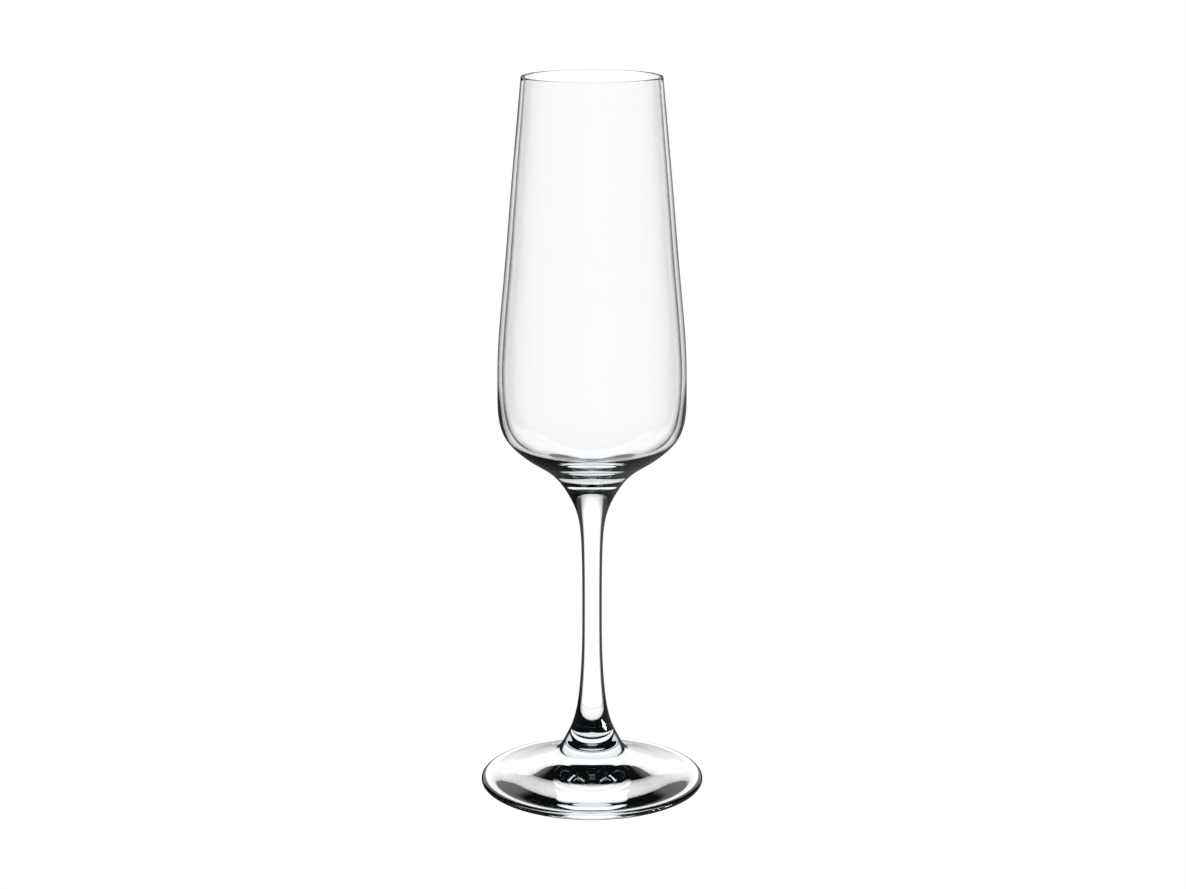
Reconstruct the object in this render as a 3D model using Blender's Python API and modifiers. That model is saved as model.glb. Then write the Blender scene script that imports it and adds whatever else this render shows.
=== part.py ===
"""Champagne flute: a blown bowl, a drawn stem and a pressed foot, fused hot where they meet.

Metres, +Z up. The origin is the centre of the ring that the foot rests on. Every piece is
turned about the Z axis, so each one is a half outline swept once round by a Screw modifier.
"""
import math

import bpy
from mathutils import Vector

MM = 0.001

# Driving dimensions
HEIGHT = 225 * MM            # table to rim
RIM_RADIUS = 21.5 * MM       # outside of the mouth
BELLY_RADIUS = 29.3 * MM     # outside of the bowl where it is widest
BELLY_HEIGHT = 128 * MM
FLOOR_HEIGHT = 103.9 * MM    # lowest point of the inside of the bowl
LIP_WALL = 0.9 * MM          # fire-polished rim, rounded over
BELLY_WALL = 1.5 * MM
STEM_RADIUS = 3.1 * MM       # where the stem is thinnest
STEM_WAIST_HEIGHT = 60 * MM
FOOT_RADIUS = 35.45 * MM
EDGE_HEIGHT = 1.2 * MM       # height at which the foot is widest
EDGE_TOP = 2.33 * MM         # where the rounded edge runs into the foot's upper face
EDGE_INSIDE = 33.8 * MM      # radius at which it does
REST_OUTER = 33.4 * MM       # flat ring that stands on the table
REST_INNER = 30.5 * MM
HOLLOW_RISE = 3.25 * MM      # how far the underside is hollowed at its centre

# The two fused joints, each a flat disc across the glass
BOWL_JOINT_HEIGHT = 97.0 * MM
FOOT_JOINT_HEIGHT = 15.0 * MM
JOINT_GAP = 0.3 * MM

# Outer outlines as (radius, height) guide points, top to bottom. The first and last point of
# each only set the direction in which the curve leaves and arrives.
BOWL_OUTSIDE = [
    (20.6 * MM, 235 * MM),
    (RIM_RADIUS, HEIGHT - LIP_WALL / 2),
    (25.15 * MM, 185 * MM),
    (26.9 * MM, 165 * MM),
    (28.35 * MM, 150 * MM),
    (29.15 * MM, 138 * MM),
    (BELLY_RADIUS, BELLY_HEIGHT),
    (28.95 * MM, 119.5 * MM),
    (27.2 * MM, 114 * MM),
    (24.4 * MM, 110.5 * MM),
    (19.9 * MM, 106.8 * MM),
    (14.1 * MM, 103 * MM),
    (10.0 * MM, 99 * MM),
    (8.5 * MM, BOWL_JOINT_HEIGHT + JOINT_GAP / 2),
    (7.4 * MM, 95 * MM),
]
STEM_OUTSIDE = [
    (10.0 * MM, 99 * MM),
    (8.35 * MM, BOWL_JOINT_HEIGHT - JOINT_GAP / 2),
    (7.4 * MM, 95 * MM),
    (5.25 * MM, 90.5 * MM),
    (3.9 * MM, 85 * MM),
    (3.3 * MM, 77 * MM),
    (STEM_RADIUS, STEM_WAIST_HEIGHT),
    (3.3 * MM, 42 * MM),
    (3.95 * MM, 32 * MM),
    (4.95 * MM, 24.5 * MM),
    (6.7 * MM, 18.5 * MM),
    (8.32 * MM, FOOT_JOINT_HEIGHT + JOINT_GAP / 2),
    (9.9 * MM, 12.3 * MM),
]
FOOT_OUTSIDE = [
    (6.7 * MM, 18.5 * MM),
    (8.48 * MM, FOOT_JOINT_HEIGHT - JOINT_GAP / 2),
    (9.9 * MM, 12.3 * MM),
    (11.9 * MM, 10.25 * MM),
    (15.8 * MM, 8.15 * MM),
    (20.0 * MM, 6.45 * MM),
    (25.5 * MM, 4.45 * MM),
    (29.5 * MM, 3.28 * MM),
    (32.2 * MM, 2.5 * MM),
    (EDGE_INSIDE, EDGE_TOP),
    (35.2 * MM, 2.3 * MM),
]

# The hollow underside, from the inner edge of the resting ring to the axis
FOOT_HOLLOW = [
    (REST_INNER, 0),
    (28.0 * MM, 0.1 * MM),
    (25.0 * MM, 0.32 * MM),
    (21.5 * MM, 0.8 * MM),
    (16.0 * MM, 1.8 * MM),
    (10.0 * MM, 2.65 * MM),
    (5.0 * MM, 3.1 * MM),
    (0, HOLLOW_RISE),
]

# The inside of the bowl, from the middle of its floor up to the rim
BOWL_INSIDE = [
    (-8.0 * MM, 104.9 * MM),
    (0, FLOOR_HEIGHT),
    (8.0 * MM, 104.9 * MM),
    (14.5 * MM, 107.0 * MM),
    (20.5 * MM, 110.3 * MM),
    (24.6 * MM, 113.9 * MM),
    (26.9 * MM, 119 * MM),
    (BELLY_RADIUS - BELLY_WALL, BELLY_HEIGHT),
    (27.65 * MM, 138 * MM),
    (26.85 * MM, 150 * MM),
    (25.45 * MM, 165 * MM),
    (23.85 * MM, 185 * MM),
    (RIM_RADIUS - LIP_WALL, HEIGHT - LIP_WALL / 2),
    (19.8 * MM, 235 * MM),
]

# How finely the solids are divided
BOWL_SEGMENTS = 56
STEM_SEGMENTS = 32
FOOT_SEGMENTS = 64
SHARP_ANGLE = math.radians(40)


def smooth_curve(guide, steps):
    """Points of a centripetal Catmull-Rom curve through all but the two end guide points."""
    points = [Vector(point) for point in guide]
    curve = []
    for before, start, end, after in zip(points, points[1:], points[2:], points[3:]):
        gap_in = (start - before).length ** 0.5
        gap = (end - start).length ** 0.5
        gap_out = (after - end).length ** 0.5
        leave = (start - before) / gap_in - (end - before) / (gap_in + gap) + (end - start) / gap
        arrive = (end - start) / gap - (after - start) / (gap + gap_out) + (after - end) / gap_out
        for step in range(steps):
            t = step / steps
            curve.append(
                start * (2 * t**3 - 3 * t**2 + 1)
                + leave * gap * (t**3 - 2 * t**2 + t)
                + end * (3 * t**2 - 2 * t**3)
                + arrive * gap * (t**3 - t**2)
            )
    curve.append(points[-2])
    return curve


def arc(centre, radii, start, end, steps):
    """Points inside an elliptical arc in the outline's plane, its two ends left out."""
    angles = [start + (end - start) * step / steps for step in range(1, steps)]
    return [
        Vector((centre[0] + radii[0] * math.cos(a), centre[1] + radii[1] * math.sin(a))) for a in angles
    ]


def glass(name, colour, roughness):
    """Clear glass with a faint tint."""
    material = bpy.data.materials.new(name)
    material.use_nodes = True
    shader = material.node_tree.nodes["Principled BSDF"]
    shader.inputs["Base Color"].default_value = colour
    shader.inputs["Roughness"].default_value = roughness
    shader.inputs["Metallic"].default_value = 0.0
    shader.inputs["IOR"].default_value = 1.52
    shader.inputs["Transmission Weight"].default_value = 1.0
    return material


def turned(name, outline, segments, material, collection):
    """Sweep a half outline once round the Z axis, and keep the result as a plain mesh."""
    mesh = bpy.data.meshes.new(name + "_outline")
    edges = [(i, i + 1) for i in range(len(outline) - 1)]
    mesh.from_pydata([(p.x, 0, p.y) for p in outline], edges, [])
    guide = bpy.data.objects.new(name + "_outline", mesh)
    collection.objects.link(guide)
    screw = guide.modifiers.new("Turn", "SCREW")
    screw.axis = "Z"
    screw.angle = math.tau
    screw.steps = segments
    screw.render_steps = segments
    screw.use_merge_vertices = True
    screw.merge_threshold = 0.00001

    evaluated = guide.evaluated_get(bpy.context.evaluated_depsgraph_get())
    solid = bpy.data.meshes.new_from_object(evaluated)
    solid.name = name
    solid.materials.clear()
    solid.materials.append(material)
    solid.shade_smooth()
    solid.set_sharp_from_angle(angle=SHARP_ANGLE)
    bpy.data.objects.remove(guide)
    part = bpy.data.objects.new(name, solid)
    collection.objects.link(part)
    return part


def bowl(collection):
    """The bowl: tapered wall, rounded lip, soft shoulder and a thick floor."""
    inside = smooth_curve(BOWL_INSIDE, 2)
    outside = smooth_curve(BOWL_OUTSIDE, 2)
    lip_centre = (RIM_RADIUS - LIP_WALL / 2, HEIGHT - LIP_WALL / 2)
    lip = arc(lip_centre, (LIP_WALL / 2, LIP_WALL / 2), math.pi, 0, 4)
    joint_face = [Vector((0, BOWL_JOINT_HEIGHT + JOINT_GAP / 2))]
    outline = inside + lip + outside + joint_face
    return turned("bowl", outline, BOWL_SEGMENTS, glass("bowl_glass", (0.97, 0.98, 0.98, 1), 0.02), collection)


def stem(collection):
    """The stem: solid glass, flared at both ends."""
    top_face = [Vector((0, BOWL_JOINT_HEIGHT - JOINT_GAP / 2))]
    bottom_face = [Vector((0, FOOT_JOINT_HEIGHT + JOINT_GAP / 2))]
    outline = top_face + smooth_curve(STEM_OUTSIDE, 2) + bottom_face
    return turned("stem", outline, STEM_SEGMENTS, glass("stem_glass", (0.97, 0.98, 0.98, 1), 0.02), collection)


def foot(collection):
    """The foot: a shallow cone with a rounded edge, a flat resting ring and a hollow underside."""
    top_face = [Vector((0, FOOT_JOINT_HEIGHT - JOINT_GAP / 2))]
    upper = smooth_curve(FOOT_OUTSIDE, 2)
    edge_in = upper[-1].x
    edge_reach = FOOT_RADIUS - edge_in
    nose = arc((edge_in, EDGE_HEIGHT), (edge_reach, EDGE_TOP - EDGE_HEIGHT), math.pi / 2, 0, 3)
    widest = [Vector((FOOT_RADIUS, EDGE_HEIGHT))]
    tuck = arc((REST_OUTER, EDGE_HEIGHT), (FOOT_RADIUS - REST_OUTER, EDGE_HEIGHT), 0, -math.pi / 2, 3)
    underside = [Vector((REST_OUTER, 0))] + [Vector(point) for point in FOOT_HOLLOW]
    outline = top_face + upper + nose + widest + tuck + underside
    return turned("foot", outline, FOOT_SEGMENTS, glass("foot_glass", (0.97, 0.98, 0.98, 1), 0.02), collection)


def main():
    for old in list(bpy.data.objects):
        bpy.data.objects.remove(old)
    collection = bpy.data.collections.new("champagne_flute")
    bpy.context.scene.collection.children.link(collection)
    for make in (bowl, stem, foot):
        make(collection)


main()
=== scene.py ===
"""Looks of a champagne flute: three pieces of clear glass, turned round one axis and fused hot.

Each piece is an outline in the X-Z plane that Geometry Nodes turn once round the Z axis. The
level discs where two pieces meet carry a glass that bends and mirrors nothing, as fused glass
has no surface there.

The studio is arranged rather than physical. Light that only passes through the glass sees a
white tent, and light that is mirrored sees a bright card with dark surroundings. The dark edges
of the bowl, the stem and the foot's rim are partly painted, by how far the surface turns away
from the eye.
"""
import math

import bmesh
import bpy
import numpy as np
from bpy.props import FloatProperty, FloatVectorProperty, IntProperty, PointerProperty
from bpy.types import Operator, Panel, PropertyGroup
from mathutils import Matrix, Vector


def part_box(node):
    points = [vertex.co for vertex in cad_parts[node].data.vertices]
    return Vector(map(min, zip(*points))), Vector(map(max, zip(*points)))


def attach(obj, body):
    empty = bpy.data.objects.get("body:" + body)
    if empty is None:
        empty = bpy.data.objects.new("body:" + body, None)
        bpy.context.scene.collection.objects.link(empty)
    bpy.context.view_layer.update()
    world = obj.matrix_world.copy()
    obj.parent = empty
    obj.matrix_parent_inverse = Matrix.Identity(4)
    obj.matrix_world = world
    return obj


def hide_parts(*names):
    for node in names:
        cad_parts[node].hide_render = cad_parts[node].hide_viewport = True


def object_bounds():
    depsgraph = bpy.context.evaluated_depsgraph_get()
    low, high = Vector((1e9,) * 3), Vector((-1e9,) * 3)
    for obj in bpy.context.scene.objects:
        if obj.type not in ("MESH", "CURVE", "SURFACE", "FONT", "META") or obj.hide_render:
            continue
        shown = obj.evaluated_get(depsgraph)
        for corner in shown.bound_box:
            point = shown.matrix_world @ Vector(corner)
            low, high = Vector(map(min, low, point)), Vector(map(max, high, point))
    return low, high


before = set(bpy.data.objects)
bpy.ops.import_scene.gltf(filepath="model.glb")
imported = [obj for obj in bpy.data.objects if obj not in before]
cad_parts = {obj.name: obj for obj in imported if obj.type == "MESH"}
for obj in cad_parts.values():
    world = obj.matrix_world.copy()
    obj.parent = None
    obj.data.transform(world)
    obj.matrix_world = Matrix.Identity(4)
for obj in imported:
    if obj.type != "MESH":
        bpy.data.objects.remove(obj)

bl_info = {
    "name": "Champagne Flute",
    "version": (1, 0, 0),
    "blender": (4, 5, 0),
    "location": "View3D > Sidebar > Flute",
    "description": "Makes a fused glass champagne flute and the stage it stands on",
    "category": "Add Mesh",
}

MM = 0.001


def corners(box):
    """A box as plain lists, lowest corner first."""
    return [list(corner) for corner in box]


CAD_BOX = corners(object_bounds())
HEIGHT = CAD_BOX[1][2]
FOOT_RADIUS = CAD_BOX[1][0]
BOWL_JOINT = (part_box("bowl")[0].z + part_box("stem")[1].z) / 2
FOOT_JOINT = (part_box("stem")[0].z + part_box("foot")[1].z) / 2
JOINT_GAP = 0.01 * MM        # the clear discs of two fused pieces lie this far apart

# How outlines are divided
GUIDE_SPACING = 0.7          # power of the distance between guide points that a curve is timed by
CURVE_STEPS = 14             # points for each stretch between two guide points
HOLLOW_STEPS = 12
LIP_STEPS = 14
EDGE_STEPS = 12
DISC_RINGS = (1.0, 0.66, 0.33, 0.0)
FLOOR_POINTS = 50            # the inside curve crosses the axis within its first points
TINY = 1e-7                  # lengths below this count as none
NEAR_AXIS = 1e-6
WELD_DISTANCE = 0.0005 * MM
FUSED_FACE = 0.95            # a face is part of a fused joint if its corners' mean flag is over this
SHARP_ANGLE = math.radians(50)

# Surface detail, as noise cells for each metre along X, Y and Z
BOWL_RIPPLE = (60, 60, 14)
STEM_RIPPLE = (200, 200, 30)
FOOT_RIPPLE = (60, 60, 60)
HAZE_CELLS = (35, 35, 20)
HAZE_NOISE = (0.45, 0.8)     # noise values between which the haze comes in

# Where the edges are painted dark
BOWL_SHADE_HEIGHTS = (115 * MM, HEIGHT + 5 * MM)
STEM_SHADE_HEIGHTS = (22 * MM, 98 * MM)
EDGE_SHADE_FADE = 3 * MM
RIM_SHADE_START = 33.9 * MM
RIM_SHADE_FADE = 0.5 * MM
RIM_SHADE_TURN = (0.4, 0.55)

# Stage
SOFT_EDGE = math.radians(3)  # of the card
TABLE_SIDE = 0.4             # the table's brightness changes between these directions, left and right
LAMP_SIDES = (0.9, 1.0)      # shares of the lamp's size between which its light fades
LAMP_ENDS = (0.28, 0.32)
FLOOR_REACH = 6.0
SENSOR_WIDTH = 36
CLIP_START = 0.01
CAMERA_SIDE = 0.3 * MM
THROUGH_BOUNCES = 24
OTHER_BOUNCES = 16


# ---------------------------------------------------------------------------------------------
# Settings
# ---------------------------------------------------------------------------------------------


class FluteBowlSettings(PropertyGroup):
    rim_radius: FloatProperty(
        name="Rim radius", description="Outside of the mouth", default=21.5 * MM, unit="LENGTH"
    )
    belly_radius: FloatProperty(
        name="Belly radius", description="Outside of the bowl at its widest", default=29.3 * MM, unit="LENGTH"
    )
    lip_wall: FloatProperty(
        name="Lip wall", description="Thickness of the rounded rim", default=0.9 * MM, unit="LENGTH"
    )
    belly_wall: FloatProperty(
        name="Belly wall", description="Thickness of the wall at the belly", default=1.5 * MM, unit="LENGTH"
    )
    floor_height: FloatProperty(
        name="Floor height", description="Lowest point of the inside", default=103.9 * MM, unit="LENGTH"
    )
    segments: IntProperty(name="Segments", description="Faces round the bowl", default=224)


class FluteStemSettings(PropertyGroup):
    waist_radius: FloatProperty(
        name="Waist radius", description="The stem where it is thinnest", default=3.1 * MM, unit="LENGTH"
    )
    segments: IntProperty(name="Segments", description="Faces round the stem", default=160)


class FluteFootSettings(PropertyGroup):
    edge_height: FloatProperty(
        name="Edge height", description="Height at which the foot is widest", default=1.2 * MM, unit="LENGTH"
    )
    edge_inside: FloatProperty(
        name="Edge inside", description="Radius at which the rounded edge starts",
        default=33.8 * MM, unit="LENGTH"
    )
    edge_top: FloatProperty(
        name="Edge top", description="Height at which the rounded edge starts",
        default=2.33 * MM, unit="LENGTH"
    )
    rest_outer: FloatProperty(
        name="Resting ring, outside", description="Outer radius of the ring", default=33.4 * MM, unit="LENGTH"
    )
    rest_inner: FloatProperty(
        name="Resting ring, inside", description="Inner radius of the ring", default=30.5 * MM, unit="LENGTH"
    )
    hollow_rise: FloatProperty(
        name="Hollow", description="Rise of the underside at its centre", default=3.25 * MM, unit="LENGTH"
    )
    segments: IntProperty(name="Segments", description="Faces round the foot", default=256)


class FluteGlassSettings(PropertyGroup):
    ior: FloatProperty(
        name="Refractive index", description="Of crystal glass",
        default=1.52, min=1.0, max=2.0
    )
    tint: FloatVectorProperty(
        name="Tint", description="Colour that thick glass turns", default=(0.80, 0.92, 1.0),
        subtype="COLOR", min=0, max=1,
    )
    absorption: FloatProperty(
        name="Absorption", description="How fast thick glass takes the tint", default=10, min=0
    )
    bowl_ripple: FloatProperty(
        name="Bowl ripple", description="Depth of the long soft ripple left by blowing", default=0.02 * MM,
        unit="LENGTH", precision=6,
    )
    stem_ripple: FloatProperty(
        name="Stem ripple", description="Depth of the ripple left by drawing the stem", default=0.004 * MM,
        unit="LENGTH", precision=6,
    )
    foot_ripple: FloatProperty(
        name="Foot ripple", description="Depth of the ripple left by pressing", default=0.006 * MM,
        unit="LENGTH", precision=6,
    )
    haze: FloatProperty(
        name="Haze", description="Roughness where the polish is dullest", default=0.008, min=0, max=1
    )
    # Painted shade on the bowl's walls: where it starts and ends as the wall turns away from the eye, and how
    # much light it leaves
    wall_shade_start: FloatProperty(
        name="Wall start", description="Turn away from the eye at which the bowl's edge starts to darken",
        default=0.7
    )
    wall_shade_end: FloatProperty(
        name="Wall end", description="Turn away from the eye at which the bowl's edge is darkest", default=0.9
    )
    wall_shade_level: FloatProperty(name="Wall level", description="How clear the bowl's edge stays", default=0.02)
    # Painted shade on the stem's edges: where it starts and ends as the side turns away from the eye, and how
    # much light it leaves
    edge_shade_start: FloatProperty(
        name="Edge start", description="Turn away from the eye at which the stem's edge starts to darken",
        default=0.26
    )
    edge_shade_end: FloatProperty(
        name="Edge end", description="Turn away from the eye at which the stem's edge is darkest", default=0.4
    )
    edge_shade_level: FloatProperty(
        name="Edge level", description="How clear the darkest edge stays",
        default=0.002
    )
    # Painted shade on the foot's rim: how much light the painted dark line leaves
    rim_shade_level: FloatProperty(name="Rim level", description="How clear the foot's rim stays", default=0.008)


class FluteStageSettings(PropertyGroup):
    tent: FloatProperty(
        name="Tent", description="Brightness of the white tent, as seen straight through the glass",
        default=1.15
    )
    card: FloatProperty(
        name="Card", description="Brightness of the card that the glass mirrors",
        default=1.25
    )
    surround: FloatProperty(name="Surround", description="Brightness beside the card", default=0.004)
    table_left: FloatProperty(
        name="Table, left", description="Brightness of the table that the glass mirrors on its left",
        default=0.06
    )
    table_right: FloatProperty(
        name="Table, right", description="Brightness of the table that the glass mirrors on its right",
        default=0.2
    )
    table_inside: FloatProperty(
        name="Table, inside", description="Brightness of the table that is mirrored inside thick glass",
        default=0.9
    )
    softbox: FloatProperty(
        name="Softbox", description="Brightness of the small lamp on the right",
        default=22
    )
    card_half_width: FloatProperty(
        name="Card half width", description="As seen from the glass",
        default=math.radians(34), subtype="ANGLE"
    )
    card_bottom: FloatProperty(
        name="Card bottom", description="Height of the card's lower edge above the level", default=-0.1,
        subtype="ANGLE",
    )
    card_bottom_outside: FloatProperty(
        name="Card bottom, outside", description="Its lower edge as the outer surfaces mirror it",
        default=0.15,
        subtype="ANGLE",
    )
    card_top: FloatProperty(
        name="Card top", description="Height of the card's edge above the level", default=math.radians(40),
        subtype="ANGLE",
    )
    lamp_turn: FloatProperty(
        name="Lamp turn", description="Where the softbox stands, from straight behind",
        default=math.radians(104),
        subtype="ANGLE",
    )
    lamp_lift: FloatProperty(
        name="Lamp lift", description="Height of the softbox above the level", default=math.radians(9),
        subtype="ANGLE",
    )
    lamp_size: FloatProperty(
        name="Lamp size", description="Half the width of the softbox, as seen from the glass",
        default=math.radians(14), subtype="ANGLE",
    )
    lens: FloatProperty(name="Lens", description="Focal length in mm", default=77.07)
    distance: FloatProperty(name="Distance", description="Camera to stem", default=0.7681, unit="LENGTH")
    height: FloatProperty(name="Camera height", description="Above the floor", default=0.2962, unit="LENGTH")
    tilt: FloatProperty(
        name="Tilt", description="How far the camera looks down", default=math.radians(13.56), subtype="ANGLE"
    )


SETTINGS = {
    "flute_bowl": FluteBowlSettings,
    "flute_stem": FluteStemSettings,
    "flute_foot": FluteFootSettings,
    "flute_glass": FluteGlassSettings,
    "flute_stage": FluteStageSettings,
}


# ---------------------------------------------------------------------------------------------
# Outlines: lists of (radius, height), from the top of the outside down
# ---------------------------------------------------------------------------------------------


def smooth_curve(guide, steps):
    """A curve of even bend (natural cubic) through the guide points, as an array of points."""
    points = np.array(guide, dtype=float)
    spans = np.linalg.norm(np.diff(points, axis=0), axis=1) ** GUIDE_SPACING
    count = len(points)
    system = np.eye(count)
    wanted = np.zeros((count, 2))
    for i in range(1, count - 1):
        system[i, i - 1 : i + 2] = spans[i - 1], 2 * (spans[i - 1] + spans[i]), spans[i]
        rise_after = (points[i + 1] - points[i]) / spans[i]
        rise_before = (points[i] - points[i - 1]) / spans[i - 1]
        wanted[i] = 6 * (rise_after - rise_before)
    bend = np.linalg.solve(system, wanted)
    curve = []
    for i, span in enumerate(spans):
        for share in np.arange(steps) / steps:
            near, far = (1 - share) * span, share * span
            curve.append(
                points[i] * (1 - share)
                + points[i + 1] * share
                + (near**3 / span - span * near) * bend[i] / 6
                + (far**3 / span - span * far) * bend[i + 1] / 6
            )
    curve.append(points[-1])
    return np.array(curve)


def between(curve, top, bottom):
    """The stretch of a falling curve from one height down to another, with exact ends."""
    heights = curve[::-1, 1]
    radii = curve[::-1, 0]
    ends = [(float(np.interp(z, heights, radii)), z) for z in (top, bottom)]
    inside = [tuple(point) for point in curve if bottom + TINY < point[1] < top - TINY]
    return [ends[0]] + inside + [ends[1]]


def arc(centre, radii, start, end, steps):
    """Points inside an elliptical arc, its two ends left out. Angles in degrees."""
    angles = np.radians(np.linspace(start, end, steps + 1)[1:-1])
    return [(centre[0] + radii[0] * math.cos(a), centre[1] + radii[1] * math.sin(a)) for a in angles]


def disc(radius, height):
    """A level line from the rim of a fused joint to the axis."""
    return [(radius * share, height) for share in DISC_RINGS]


def bowl_guide():
    """Guide points down the outside of the bowl, starting above the rim to set its lean there."""
    bowl = bpy.context.scene.flute_bowl
    return [
        (21.1 * MM, HEIGHT + 4 * MM),
        (bowl.rim_radius, HEIGHT - bowl.lip_wall / 2),
        (23.35 * MM, 205 * MM),
        (25.15 * MM, 185 * MM),
        (26.9 * MM, 165 * MM),
        (28.35 * MM, 150 * MM),
        (29.15 * MM, 138 * MM),
        (bowl.belly_radius, 128 * MM),
        (28.95 * MM, 119.5 * MM),
        (27.2 * MM, 114 * MM),
        (24.4 * MM, 110.5 * MM),
        (19.9 * MM, 106.8 * MM),
        (14.1 * MM, 103 * MM),
        (10.0 * MM, 99 * MM),
    ]


def stem_guide():
    """Guide points down the stem, from under the bowl to the collar on the foot."""
    stem = bpy.context.scene.flute_stem
    return [
        (7.4 * MM, 95 * MM),
        (5.25 * MM, 90.5 * MM),
        (3.9 * MM, 85 * MM),
        (3.3 * MM, 77 * MM),
        (stem.waist_radius, 66 * MM),
        (stem.waist_radius, 54 * MM),
        (3.3 * MM, 42 * MM),
        (3.95 * MM, 32 * MM),
        (4.95 * MM, 24.5 * MM),
        (6.7 * MM, 18.5 * MM),
    ]


def foot_guide():
    """Guide points out along the foot's upper face, ending past the edge to set its slope there."""
    foot = bpy.context.scene.flute_foot
    return [
        (8.4 * MM, 15 * MM),
        (9.9 * MM, 12.3 * MM),
        (11.9 * MM, 10.25 * MM),
        (15.8 * MM, 8.15 * MM),
        (20.0 * MM, 6.45 * MM),
        (25.5 * MM, 4.45 * MM),
        (29.5 * MM, 3.28 * MM),
        (32.2 * MM, 2.5 * MM),
        (33.0 * MM, 2.38 * MM),
        (foot.edge_inside, foot.edge_top),
        (35.2 * MM, 2.3 * MM),
    ]


def hollow_guide():
    """Guide points along the hollow underside, from the resting ring to past the axis."""
    foot = bpy.context.scene.flute_foot
    return [
        (33.5 * MM, -0.02 * MM),
        (foot.rest_inner, 0),
        (28 * MM, 0.1 * MM),
        (25 * MM, 0.32 * MM),
        (21.5 * MM, 0.8 * MM),
        (16 * MM, 1.8 * MM),
        (10 * MM, 2.65 * MM),
        (5 * MM, 3.1 * MM),
        (0, foot.hollow_rise),
        (-5 * MM, 3.1 * MM),
    ]


def outside_curve():
    """The whole outside of the glass, from above the rim down to the foot's edge."""
    return smooth_curve(bowl_guide() + stem_guide() + foot_guide(), CURVE_STEPS)


def inside_curve():
    """The inside of the bowl, from the middle of its floor up to the lip."""
    bowl = bpy.context.scene.flute_bowl
    guide = [
        (-14.5 * MM, 107.0 * MM),
        (-8.0 * MM, 104.9 * MM),
        (0, bowl.floor_height),
        (8.0 * MM, 104.9 * MM),
        (14.5 * MM, 107.0 * MM),
        (20.5 * MM, 110.3 * MM),
        (24.6 * MM, 113.9 * MM),
        (26.9 * MM, 119 * MM),
        (bowl.belly_radius - bowl.belly_wall, 128 * MM),
        (27.65 * MM, 138 * MM),
        (26.85 * MM, 150 * MM),
        (25.45 * MM, 165 * MM),
        (23.85 * MM, 185 * MM),
        (22.2 * MM, 205 * MM),
        (bowl.rim_radius - bowl.lip_wall, HEIGHT - bowl.lip_wall / 2),
        (20.2 * MM, HEIGHT + 4 * MM),
    ]
    curve = smooth_curve(guide, CURVE_STEPS)
    first = int(np.argmin(np.abs(curve[:FLOOR_POINTS, 0])))
    lip_height = HEIGHT - bowl.lip_wall / 2
    floor_to_lip = [tuple(point) for point in curve[first:] if point[1] < lip_height - TINY]
    floor_to_lip[0] = (0, floor_to_lip[0][1])
    return floor_to_lip + [(bowl.rim_radius - bowl.lip_wall, lip_height)]


def bowl_outline():
    """Floor, inside, lip, outside and the disc of the joint below."""
    bowl = bpy.context.scene.flute_bowl
    lip_height = HEIGHT - bowl.lip_wall / 2
    lip_centre = (bowl.rim_radius - bowl.lip_wall / 2, lip_height)
    lip = arc(lip_centre, (bowl.lip_wall / 2, bowl.lip_wall / 2), 180, 0, LIP_STEPS)
    wall = between(outside_curve(), lip_height, BOWL_JOINT + JOINT_GAP / 2)
    return inside_curve() + lip + wall[:-1] + disc(wall[-1][0], BOWL_JOINT + JOINT_GAP / 2)


def stem_outline():
    """The disc of the joint above, the side, and the disc of the joint below."""
    side = between(outside_curve(), BOWL_JOINT - JOINT_GAP / 2, FOOT_JOINT + JOINT_GAP / 2)
    return disc(*side[0])[::-1] + side[1:-1] + disc(*side[-1])


def foot_outline():
    """The disc of the joint above, the upper face, the rounded edge, the ring and the hollow."""
    foot = bpy.context.scene.flute_foot
    upper = between(outside_curve(), FOOT_JOINT - JOINT_GAP / 2, foot.edge_top)
    edge_in = upper[-1][0]
    nose_size = (FOOT_RADIUS - edge_in, foot.edge_top - foot.edge_height)
    nose = arc((edge_in, foot.edge_height), nose_size, 90, 0, EDGE_STEPS)
    tuck_size = (FOOT_RADIUS - foot.rest_outer, foot.edge_height)
    tuck = arc((foot.rest_outer, foot.edge_height), tuck_size, 0, -90, EDGE_STEPS)
    ring = [(foot.rest_outer, 0), (32.0 * MM, 0), (foot.rest_inner, 0)]
    hollow_curve = smooth_curve(hollow_guide(), HOLLOW_STEPS)
    hollow = [tuple(p) for p in hollow_curve if NEAR_AXIS < p[0] < foot.rest_inner - TINY and p[1] > TINY]
    widest = [(FOOT_RADIUS, foot.edge_height)]
    return disc(*upper[0])[::-1] + upper[1:] + nose + widest + tuck + ring + hollow + [(0, foot.hollow_rise)]


# ---------------------------------------------------------------------------------------------
# Turning an outline with Geometry Nodes
# ---------------------------------------------------------------------------------------------


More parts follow.
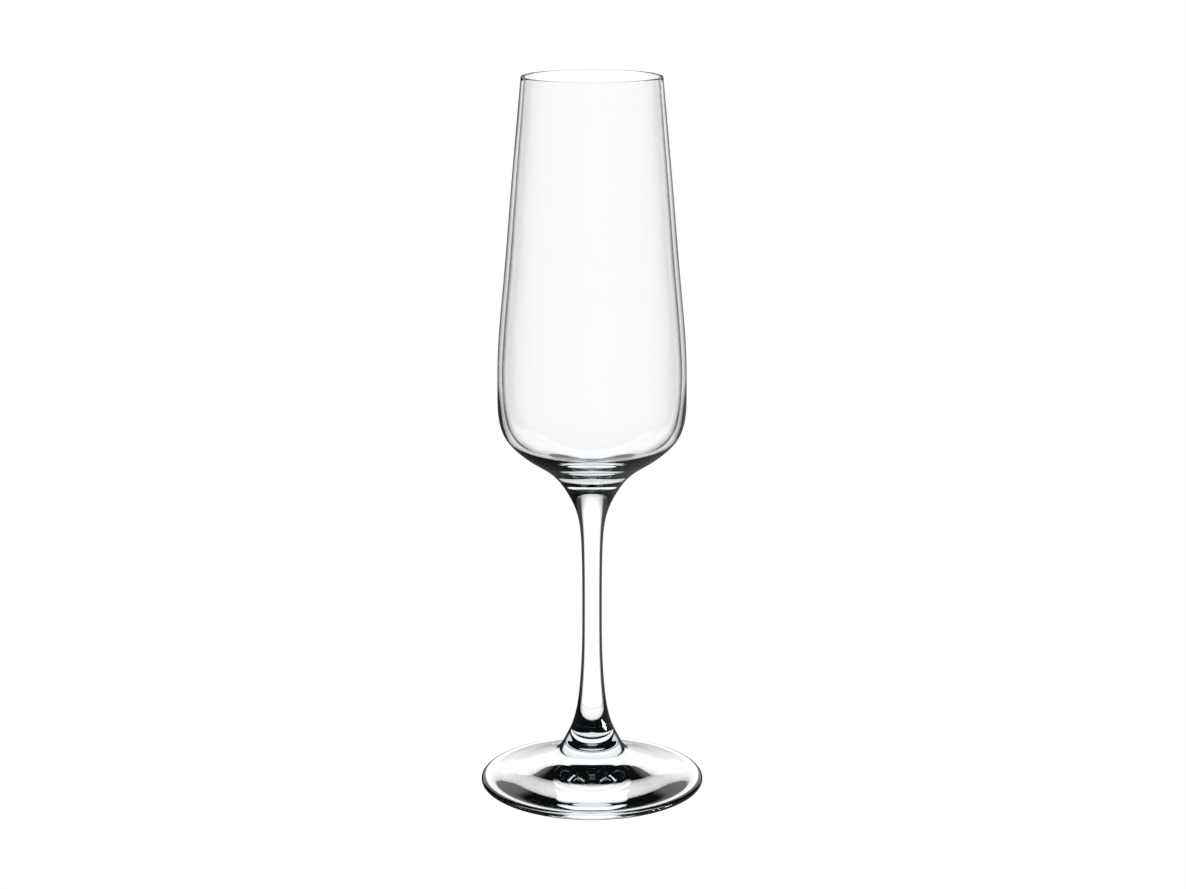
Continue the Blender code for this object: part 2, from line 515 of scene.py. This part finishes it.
def turning_tree():
    """A node tree that turns an outline once round the Z axis into a closed skin."""
    name = "Turn outline"
    if name in bpy.data.node_groups:
        return bpy.data.node_groups[name]
    tree = bpy.data.node_groups.new(name, "GeometryNodeTree")
    face = tree.interface
    face.new_socket("Outline", in_out="INPUT", socket_type="NodeSocketGeometry")
    face.new_socket("Segments", in_out="INPUT", socket_type="NodeSocketInt")
    face.new_socket("Glass", in_out="INPUT", socket_type="NodeSocketMaterial")
    face.new_socket("Fused joint", in_out="INPUT", socket_type="NodeSocketMaterial")
    face.new_socket("Geometry", in_out="OUTPUT", socket_type="NodeSocketGeometry")
    new, link = tree.nodes.new, tree.links.new
    source = new("NodeGroupInput")
    result = new("NodeGroupOutput")

    def calculate(operation, first, second=None):
        node = new("ShaderNodeMath")
        node.operation = operation
        for socket, value in zip(node.inputs, (first, second)):
            if isinstance(value, (int, float)):
                socket.default_value = value
            elif value is not None:
                link(value, socket)
        return node.outputs[0]

    # A grid: one row of vertices for each outline point, one column for each segment and the seam
    size = new("GeometryNodeAttributeDomainSize")
    link(source.outputs["Outline"], size.inputs[0])
    columns = calculate("ADD", source.outputs["Segments"], 1)
    grid = new("GeometryNodeMeshGrid")
    link(size.outputs["Point Count"], grid.inputs["Vertices X"])
    link(columns, grid.inputs["Vertices Y"])

    index = new("GeometryNodeInputIndex").outputs[0]
    row = calculate("FLOOR", calculate("DIVIDE", calculate("ADD", index, 0.5), columns))
    column = calculate("SUBTRACT", index, calculate("MULTIPLY", row, columns))
    turn = calculate("DIVIDE", calculate("MULTIPLY", column, math.tau), source.outputs["Segments"])

    # Each vertex takes its radius and height from the outline point of its row
    place = new("GeometryNodeInputPosition").outputs[0]
    sample = new("GeometryNodeSampleIndex")
    sample.data_type = "FLOAT_VECTOR"
    link(source.outputs["Outline"], sample.inputs["Geometry"])
    link(place, sample.inputs["Value"])
    link(row, sample.inputs["Index"])
    parts = new("ShaderNodeSeparateXYZ")
    link(sample.outputs["Value"], parts.inputs[0])
    turned = new("ShaderNodeCombineXYZ")
    link(calculate("MULTIPLY", parts.outputs["X"], calculate("COSINE", turn)), turned.inputs["X"])
    link(calculate("MULTIPLY", parts.outputs["X"], calculate("SINE", turn)), turned.inputs["Y"])
    link(parts.outputs["Z"], turned.inputs["Z"])

    # The disc of a fused joint is flagged on the outline, and its faces carry the flag on
    flag = new("GeometryNodeInputNamedAttribute")
    flag.data_type = "FLOAT"
    flag.inputs["Name"].default_value = "fused"
    sample_flag = new("GeometryNodeSampleIndex")
    sample_flag.data_type = "FLOAT"
    link(source.outputs["Outline"], sample_flag.inputs["Geometry"])
    link(flag.outputs["Attribute"], sample_flag.inputs["Value"])
    link(row, sample_flag.inputs["Index"])
    store = new("GeometryNodeStoreNamedAttribute")
    store.data_type = "FLOAT"
    store.domain = "POINT"
    store.inputs["Name"].default_value = "fused"
    link(grid.outputs["Mesh"], store.inputs["Geometry"])
    link(sample_flag.outputs["Value"], store.inputs["Value"])

    shape = new("GeometryNodeSetPosition")
    link(store.outputs["Geometry"], shape.inputs["Geometry"])
    link(turned.outputs[0], shape.inputs["Position"])
    weld = new("GeometryNodeMergeByDistance")
    weld.inputs["Distance"].default_value = WELD_DISTANCE
    link(shape.outputs["Geometry"], weld.inputs["Geometry"])
    smooth = new("GeometryNodeSetShadeSmooth")
    link(weld.outputs["Geometry"], smooth.inputs["Geometry"])
    real = new("GeometryNodeRealizeInstances")
    link(smooth.outputs["Geometry"], real.inputs["Geometry"])
    coat = new("GeometryNodeSetMaterial")
    link(real.outputs["Geometry"], coat.inputs["Geometry"])
    link(source.outputs["Glass"], coat.inputs["Material"])
    flagged = new("GeometryNodeInputNamedAttribute")
    flagged.data_type = "FLOAT"
    flagged.inputs["Name"].default_value = "fused"
    chosen = calculate("GREATER_THAN", flagged.outputs["Attribute"], FUSED_FACE)
    coat_joint = new("GeometryNodeSetMaterial")
    link(coat.outputs["Geometry"], coat_joint.inputs["Geometry"])
    link(chosen, coat_joint.inputs["Selection"])
    link(source.outputs["Fused joint"], coat_joint.inputs["Material"])
    link(coat_joint.outputs["Geometry"], result.inputs["Geometry"])
    return tree


def turned_piece(name, outline, segments, glass, fused_heights):
    """Turn an outline into a plain closed mesh object."""
    guide = bpy.data.meshes.new(name + "_outline")
    links = [(i, i + 1) for i in range(len(outline) - 1)]
    guide.from_pydata([(float(r), 0, float(z)) for r, z in outline], links, [])
    flag = guide.attributes.new("fused", "FLOAT", "POINT")
    for item, (_, z) in zip(flag.data, outline):
        item.value = float(any(abs(z - height) < TINY for height in fused_heights))
    piece = bpy.data.objects.new(name, guide)
    bpy.context.scene.collection.objects.link(piece)

    tree = turning_tree()
    turn = piece.modifiers.new("Turn", "NODES")
    turn.node_group = tree
    sockets = {item.name: item.identifier for item in tree.interface.items_tree if item.in_out == "INPUT"}
    turn[sockets["Segments"]] = segments
    turn[sockets["Glass"]] = glass
    turn[sockets["Fused joint"]] = fused_joint()

    evaluated = piece.evaluated_get(bpy.context.evaluated_depsgraph_get())
    skin = bpy.data.meshes.new_from_object(evaluated)
    skin.name = name
    piece.modifiers.clear()
    drop_empty_slot(skin)
    piece.data = skin
    bpy.data.meshes.remove(guide)
    make_closed(piece)
    return piece


def drop_empty_slot(mesh):
    """The grid that a tree starts from brings an empty first material slot along."""
    kept = [material for material in mesh.materials if material]
    shift = len(mesh.materials) - len(kept)
    indices = np.zeros(len(mesh.polygons), dtype=np.int32)
    mesh.polygons.foreach_get("material_index", indices)
    mesh.materials.clear()
    for material in kept:
        mesh.materials.append(material)
    mesh.polygons.foreach_set("material_index", indices - shift)


def make_closed(piece):
    """Point the faces outwards, and keep the rim of a fused joint sharp."""
    mesh = piece.data
    work = bmesh.new()
    work.from_mesh(mesh)
    bmesh.ops.recalc_face_normals(work, faces=work.faces)
    if work.calc_volume(signed=True) < 0:
        bmesh.ops.reverse_faces(work, faces=work.faces)
    open_edges = sum(not edge.is_manifold for edge in work.edges)
    work.to_mesh(mesh)
    work.free()
    if open_edges:
        raise RuntimeError(f"{piece.name} has {open_edges} open edges")
    mesh.shade_smooth()
    mesh.set_sharp_from_angle(angle=SHARP_ANGLE)


# ---------------------------------------------------------------------------------------------
# Materials
# ---------------------------------------------------------------------------------------------


class Nodes:
    """A short way to build a shader: add nodes by type, settings and links."""

    def __init__(self, tree):
        self.tree = tree
        tree.nodes.clear()

    def add(self, kind, settings=None, **inputs):
        """A node, with its settings by name and its inputs as values or links."""
        node = self.tree.nodes.new(kind)
        for key, value in (settings or {}).items():
            setattr(node, key, value)
        for key, value in inputs.items():
            socket = node.inputs[key.replace("_", " ")]
            if isinstance(value, bpy.types.NodeSocket):
                self.tree.links.new(value, socket)
            else:
                socket.default_value = value
        return node

    def math(self, operation, first, second=0.0):
        """The result of a sum on one or two numbers."""
        node = self.tree.nodes.new("ShaderNodeMath")
        node.operation = operation
        for socket, value in zip(node.inputs, (first, second)):
            if isinstance(value, bpy.types.NodeSocket):
                self.tree.links.new(value, socket)
            else:
                socket.default_value = value
        return node.outputs[0]

    def ease(self, value, low, high, start=0.0, end=1.0):
        """A soft step from start to end as the value goes from low to high."""
        node = self.add(
            "ShaderNodeMapRange", {"interpolation_type": "SMOOTHSTEP"},
            Value=value, From_Min=low, From_Max=high, To_Min=start, To_Max=end,
        )
        return node.outputs["Result"]

    def mix(self, share, first, second):
        """The first number, turning into the second as the share goes from 0 to 1."""
        rest = self.math("MULTIPLY", self.math("SUBTRACT", 1.0, share), first)
        return self.math("ADD", rest, self.math("MULTIPLY", share, second))

    def link(self, output, socket):
        self.tree.links.new(output, socket)


def add_absorption(nodes, output):
    """Thick glass takes on its tint."""
    glass = bpy.context.scene.flute_glass
    volume = nodes.add("ShaderNodeVolumeAbsorption", Density=glass.absorption)
    volume.inputs["Color"].default_value = (*glass.tint, 1)
    nodes.link(volume.outputs[0], output.inputs["Volume"])


def fused_joint():
    """Where two pieces are fused there is no surface to see: glass that bends and mirrors nothing."""
    name = "fused_joint"
    if name in bpy.data.materials:
        return bpy.data.materials[name]
    material = bpy.data.materials.new(name)
    material.use_nodes = True
    nodes = Nodes(material.node_tree)
    output = nodes.add("ShaderNodeOutputMaterial")
    clear = nodes.add("ShaderNodeBsdfPrincipled")
    clear.inputs["Base Color"].default_value = (1, 1, 1, 1)
    clear.inputs["Roughness"].default_value = 0.0
    clear.inputs["IOR"].default_value = 1.0
    clear.inputs["Transmission Weight"].default_value = 1.0
    nodes.link(clear.outputs[0], output.inputs["Surface"])
    add_absorption(nodes, output)
    return material


def painted_edge_shade(nodes, place, heights, turns, darkest):
    """Painted shade: colour that is clear in the middle, and dark where the side turns away from the eye."""
    bottom, top = heights
    turned_away = nodes.add("ShaderNodeLayerWeight", Blend=0.5).outputs["Facing"]
    edge = nodes.ease(turned_away, *turns)
    height = nodes.add("ShaderNodeSeparateXYZ", Vector=place).outputs["Z"]
    rises = nodes.ease(height, bottom - EDGE_SHADE_FADE, bottom + EDGE_SHADE_FADE)
    falls = nodes.ease(height, top - EDGE_SHADE_FADE, top + EDGE_SHADE_FADE, 1.0, 0.0)
    dark = nodes.math("MULTIPLY", edge, nodes.math("MULTIPLY", rises, falls))
    level = nodes.mix(dark, 1.0, darkest)
    return nodes.add("ShaderNodeCombineColor", Red=level, Green=level, Blue=level).outputs[0]


def painted_rim_shade(nodes, place):
    """Painted shade for a disc: clear, but for a dark line where its rounded edge turns away from the eye."""
    settings = bpy.context.scene.flute_glass
    turned_away = nodes.add("ShaderNodeLayerWeight", Blend=0.5).outputs["Facing"]
    edge = nodes.ease(turned_away, *RIM_SHADE_TURN)
    axes = nodes.add("ShaderNodeSeparateXYZ", Vector=place)
    level = nodes.add("ShaderNodeCombineXYZ", X=axes.outputs["X"], Y=axes.outputs["Y"])
    length = nodes.add("ShaderNodeVectorMath", {"operation": "LENGTH"}, Vector=level.outputs[0])
    radius = length.outputs["Value"]
    reach = nodes.ease(radius, RIM_SHADE_START, RIM_SHADE_START + RIM_SHADE_FADE)
    level = nodes.mix(nodes.math("MULTIPLY", edge, reach), 1.0, settings.rim_shade_level)
    return nodes.add("ShaderNodeCombineColor", Red=level, Green=level, Blue=level).outputs[0]


def noise(nodes, place, scale, detail):
    """Soft noise, stretched by a scale for each axis."""
    stretched = nodes.add("ShaderNodeMapping", Vector=place, Scale=scale)
    texture = nodes.add(
        "ShaderNodeTexNoise", Vector=stretched.outputs[0], Scale=1.0, Detail=detail, Roughness=0.5
    )
    return texture.outputs[0]


def clear_glass(name, ripple_scale, ripple_depth, edges=None, rim=False):
    """Polished crystal: clear, with a faint tint where it is thick, a slight ripple, a slight haze, and
    painted shade at its edges when asked.
    """
    settings = bpy.context.scene.flute_glass
    material = bpy.data.materials.new(name)
    material.use_nodes = True
    nodes = Nodes(material.node_tree)
    output = nodes.add("ShaderNodeOutputMaterial")
    place = nodes.add("ShaderNodeTexCoord").outputs["Object"]
    ripple = noise(nodes, place, ripple_scale, detail=1.0)
    bump = nodes.add("ShaderNodeBump", Height=ripple, Strength=1.0, Distance=ripple_depth)
    haze = noise(nodes, place, HAZE_CELLS, detail=4.0)
    roughness = nodes.ease(haze, *HAZE_NOISE, 0.0, settings.haze)
    shader = nodes.add("ShaderNodeBsdfPrincipled")
    shader.inputs["Base Color"].default_value = (1, 1, 1, 1)
    shader.inputs["IOR"].default_value = settings.ior
    shader.inputs["Transmission Weight"].default_value = 1.0
    nodes.link(bump.outputs[0], shader.inputs["Normal"])
    nodes.link(roughness, shader.inputs["Roughness"])
    # Painted shade: a dark line on the foot's rim, or dark edges on the bowl and stem, painted into the base
    # colour
    if rim:
        nodes.link(painted_rim_shade(nodes, place), shader.inputs["Base Color"])
    if edges:
        nodes.link(painted_edge_shade(nodes, place, *edges), shader.inputs["Base Color"])
    nodes.link(shader.outputs[0], output.inputs["Surface"])
    add_absorption(nodes, output)
    return material


# ---------------------------------------------------------------------------------------------
# Stage
# ---------------------------------------------------------------------------------------------


def studio_world():
    """Shows each path of light its own surroundings: white to the eye, a tent through the glass, and
    a bright card with dark surroundings and a table to whatever is mirrored."""
    stage = bpy.context.scene.flute_stage
    world = bpy.data.worlds.new("studio")
    bpy.context.scene.world = world
    world.use_nodes = True
    nodes = Nodes(world.node_tree)
    output = nodes.add("ShaderNodeOutputWorld")
    direction = nodes.add("ShaderNodeTexCoord").outputs["Generated"]
    axes = nodes.add("ShaderNodeSeparateXYZ", Vector=direction)
    aside = nodes.math("ABSOLUTE", nodes.math("ARCTAN2", axes.outputs["X"], axes.outputs["Y"]))
    above = nodes.math("ARCSINE", axes.outputs["Z"])
    half = stage.card_half_width
    within = nodes.ease(aside, half - SOFT_EDGE, half + SOFT_EDGE, 1.0, 0.0)
    under = nodes.ease(above, stage.card_top - SOFT_EDGE, stage.card_top + SOFT_EDGE, 1.0, 0.0)
    card = nodes.math("MULTIPLY", within, under)
    sky = nodes.math("ADD", nodes.math("MULTIPLY", card, stage.card - stage.surround), stage.surround)
    path = nodes.add("ShaderNodeLightPath")
    inside = nodes.math("MINIMUM", path.outputs["Transmission Depth"], 1.0)
    outer_table = nodes.ease(
        axes.outputs["X"], -TABLE_SIDE, TABLE_SIDE, stage.table_left, stage.table_right
    )
    inner_table = nodes.mix(within, stage.surround, stage.table_inside)
    table = nodes.mix(inside, outer_table, inner_table)
    bottom = nodes.mix(inside, stage.card_bottom_outside, stage.card_bottom)
    raised = nodes.ease(nodes.math("SUBTRACT", above, bottom), -SOFT_EDGE, SOFT_EDGE)
    light = nodes.mix(raised, table, sky)

    # A small softbox low on the right, which only the outer surfaces mirror
    lamp_side = nodes.math("ARCTAN2", axes.outputs["X"], axes.outputs["Y"])
    beside = nodes.math("ABSOLUTE", nodes.math("SUBTRACT", lamp_side, stage.lamp_turn))
    beyond = nodes.math("ABSOLUTE", nodes.math("SUBTRACT", above, stage.lamp_lift))
    lamp_wide = nodes.ease(beside, *(stage.lamp_size * share for share in LAMP_SIDES), 1.0, 0.0)
    lamp_high = nodes.ease(beyond, *(stage.lamp_size * share for share in LAMP_ENDS), 1.0, 0.0)
    lamp = nodes.math("MULTIPLY", nodes.math("MULTIPLY", lamp_wide, lamp_high), stage.softbox)
    outside = nodes.math("SUBTRACT", 1.0, inside)
    light = nodes.math("ADD", light, nodes.math("MULTIPLY", lamp, outside))

    seen = path.outputs["Is Camera Ray"]
    mirrored = nodes.math("MINIMUM", path.outputs["Glossy Depth"], 1.0)
    through = nodes.mix(mirrored, stage.tent, light)
    strength = nodes.mix(seen, through, 1.0)
    background = nodes.add("ShaderNodeBackground", Color=(1, 1, 1, 1), Strength=strength)
    nodes.link(background.outputs[0], output.inputs["Surface"])


def floor():
    """A plain pale floor that only the camera sees, so the glass shows the studio, not the floor."""
    mesh = bpy.data.meshes.new("floor")
    square = [(x * FLOOR_REACH, y * FLOOR_REACH, 0) for x, y in ((-1, -1), (1, -1), (1, 1), (-1, 1))]
    mesh.from_pydata(square, [], [(0, 1, 2, 3)])
    item = bpy.data.objects.new("floor", mesh)
    bpy.context.scene.collection.objects.link(item)
    item.visible_transmission = False
    item.visible_glossy = False
    material = bpy.data.materials.new("pale_floor")
    material.use_nodes = True
    nodes = Nodes(material.node_tree)
    output = nodes.add("ShaderNodeOutputMaterial")
    glow = nodes.add("ShaderNodeEmission", Strength=1.0)
    nodes.link(glow.outputs[0], output.inputs["Surface"])
    mesh.materials.append(material)


def camera():
    """The camera in front, looking a little down."""
    stage = bpy.context.scene.flute_stage
    data = bpy.data.cameras.new("camera")
    data.lens = stage.lens
    data.sensor_width = SENSOR_WIDTH
    data.clip_start = CLIP_START
    item = bpy.data.objects.new("camera", data)
    bpy.context.scene.collection.objects.link(item)
    item.location = (CAMERA_SIDE, -stage.distance, stage.height)
    item.rotation_euler = (math.pi / 2 - stage.tilt, 0, 0)
    bpy.context.scene.camera = item


# ---------------------------------------------------------------------------------------------
# Operators
# ---------------------------------------------------------------------------------------------


def finish_piece(piece, node):
    """Hide the CAD part that the piece takes the place of, and hang the piece under the root body."""
    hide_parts(node)
    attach(piece, "root")


class FLUTE_OT_bowl(Operator):
    """Make the blown bowl"""

    bl_idname = "flute.make_bowl"
    bl_label = "Make Bowl"

    def execute(self, context):
        settings = context.scene.flute_glass
        # Painted shade: the bowl's walls are painted darker where they turn away from the eye
        edges = (BOWL_SHADE_HEIGHTS, (settings.wall_shade_start, settings.wall_shade_end), settings.wall_shade_level)
        glass = clear_glass("bowl_glass", BOWL_RIPPLE, settings.bowl_ripple, edges=edges)
        heights = [BOWL_JOINT + JOINT_GAP / 2]
        piece = turned_piece("bowl_glass", bowl_outline(), context.scene.flute_bowl.segments, glass, heights)
        finish_piece(piece, "bowl")
        return {"FINISHED"}


class FLUTE_OT_stem(Operator):
    """Make the drawn stem"""

    bl_idname = "flute.make_stem"
    bl_label = "Make Stem"

    def execute(self, context):
        settings = context.scene.flute_glass
        # Painted shade: the stem's edges are painted dark where they turn away from the eye
        edges = (STEM_SHADE_HEIGHTS, (settings.edge_shade_start, settings.edge_shade_end), settings.edge_shade_level)
        glass = clear_glass("stem_glass", STEM_RIPPLE, settings.stem_ripple, edges=edges)
        heights = [BOWL_JOINT - JOINT_GAP / 2, FOOT_JOINT + JOINT_GAP / 2]
        piece = turned_piece("stem_glass", stem_outline(), context.scene.flute_stem.segments, glass, heights)
        finish_piece(piece, "stem")
        return {"FINISHED"}


class FLUTE_OT_foot(Operator):
    """Make the pressed foot"""

    bl_idname = "flute.make_foot"
    bl_label = "Make Foot"

    def execute(self, context):
        # Painted shade: a dark line is painted on the foot's rounded rim
        glass = clear_glass("foot_glass", FOOT_RIPPLE, context.scene.flute_glass.foot_ripple, rim=True)
        heights = [FOOT_JOINT - JOINT_GAP / 2]
        piece = turned_piece("foot_glass", foot_outline(), context.scene.flute_foot.segments, glass, heights)
        finish_piece(piece, "foot")
        return {"FINISHED"}


class FLUTE_OT_stage(Operator):
    """Set the floor, the studio light and the camera"""

    bl_idname = "flute.make_stage"
    bl_label = "Make Stage"

    def execute(self, context):
        scene = context.scene
        studio_world()
        floor()
        camera()
        scene.view_settings.view_transform = "Standard"
        scene.cycles.max_bounces = THROUGH_BOUNCES
        scene.cycles.transmission_bounces = THROUGH_BOUNCES
        scene.cycles.glossy_bounces = OTHER_BOUNCES
        scene.cycles.transparent_max_bounces = OTHER_BOUNCES
        return {"FINISHED"}


class FLUTE_PT_sidebar(Panel):
    """Lists the pieces and their settings"""

    bl_idname = "FLUTE_PT_sidebar"
    bl_label = "Champagne Flute"
    bl_space_type = "VIEW_3D"
    bl_region_type = "UI"
    bl_category = "Flute"

    def draw(self, context):
        layout = self.layout
        for operator in OPERATORS:
            layout.operator(operator.bl_idname)
        for name, settings in SETTINGS.items():
            box = layout.box()
            box.label(text=name.replace("_", " ").title())
            group = getattr(context.scene, name)
            for key in settings.__annotations__:
                box.prop(group, key)


OPERATORS = (FLUTE_OT_bowl, FLUTE_OT_stem, FLUTE_OT_foot, FLUTE_OT_stage)


def register():
    for cls in (*SETTINGS.values(), *OPERATORS, FLUTE_PT_sidebar):
        bpy.utils.register_class(cls)
    for name, settings in SETTINGS.items():
        setattr(bpy.types.Scene, name, PointerProperty(type=settings))


def unregister():
    for name in SETTINGS:
        delattr(bpy.types.Scene, name)
    for cls in reversed((*SETTINGS.values(), *OPERATORS, FLUTE_PT_sidebar)):
        bpy.utils.unregister_class(cls)


def main():
    register()
    bpy.ops.flute.make_bowl()
    bpy.ops.flute.make_stem()
    bpy.ops.flute.make_foot()
    bpy.ops.flute.make_stage()


if __name__ == "__main__":
    main()
